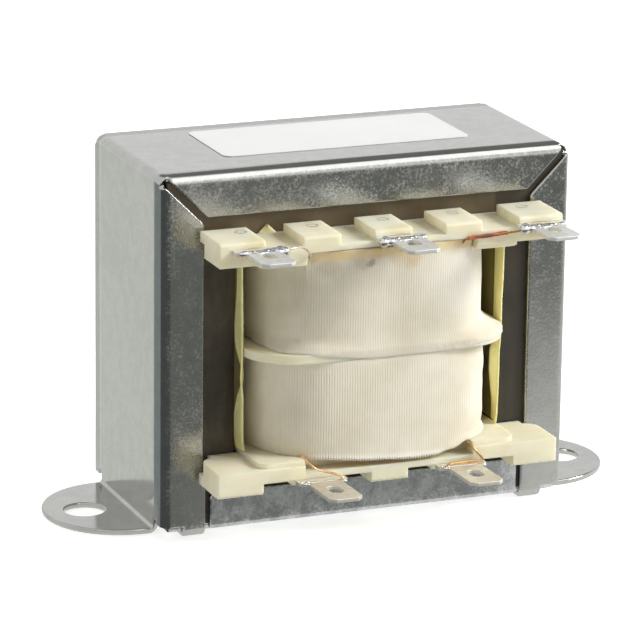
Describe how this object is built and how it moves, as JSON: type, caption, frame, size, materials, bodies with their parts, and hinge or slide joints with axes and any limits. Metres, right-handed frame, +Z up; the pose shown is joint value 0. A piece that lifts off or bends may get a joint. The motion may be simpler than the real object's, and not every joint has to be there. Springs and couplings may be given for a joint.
{
  "type": "chassis mount transformer",
  "caption": "Laminated mains transformer with a split bobbin, taped coils and solder lugs, held in a folded channel frame with two mounting feet.",
  "frame": {"origin": "midway between the two mounting holes, on the underside of the feet", "axes": "+X along the feet, +Y from the face with the solder lugs to the plain back, +Z up from the mounting face"},
  "size_m": [0.0826, 0.0548, 0.0501],
  "materials": {
    "plated_sheet": "zinc-plated cold-rolled sheet, bright with a fine speckle",
    "strap_sheet": "zinc-plated cold-rolled sheet, bright",
    "core_steel": "silicon steel laminations under a thin brown varnish, dull",
    "moulded_nylon": "natural cream nylon, satin",
    "enamelled_wire": "enamelled copper wire, wound solid",
    "cloth_tape": "woven cloth tape, varnish-stained near the boards",
    "yellow_film": "yellow polyester film",
    "tinned_brass": "tin-plated brass strip, satin",
    "solder": "bright solder",
    "bare_copper": "bare copper wire end",
    "red_sleeve": "red insulating sleeve",
    "white_label": "blank white label stock, satin"
  },
  "bodies": {
    "root": {"channel_frame": "plated_sheet", "base_strap": "strap_sheet", "e_laminations": "core_steel", "i_laminations": "core_steel", "bobbin": "moulded_nylon", "lower_winding": "enamelled_wire", "upper_winding": "enamelled_wire", "lower_tape": "cloth_tape", "upper_tape": "cloth_tape", "window_liner_left": "yellow_film", "window_liner_right": "yellow_film", "film_corner": "yellow_film", "upper_lug_left": "tinned_brass", "upper_lug_middle": "tinned_brass", "upper_lug_right": "tinned_brass", "lower_lug_left": "tinned_brass", "lower_lug_right": "tinned_brass", "upper_solder_left": "solder", "upper_solder_middle": "solder", "upper_solder_right": "solder", "lower_solder_left": "solder", "lower_solder_right": "solder", "upper_lead_left": "bare_copper", "upper_lead_middle": "bare_copper", "upper_lead_right": "bare_copper", "lead_sleeve": "red_sleeve", "lower_lead_left": "bare_copper", "lower_lead_right": "bare_copper", "top_label": "white_label"}
  },
  "joints": []
}
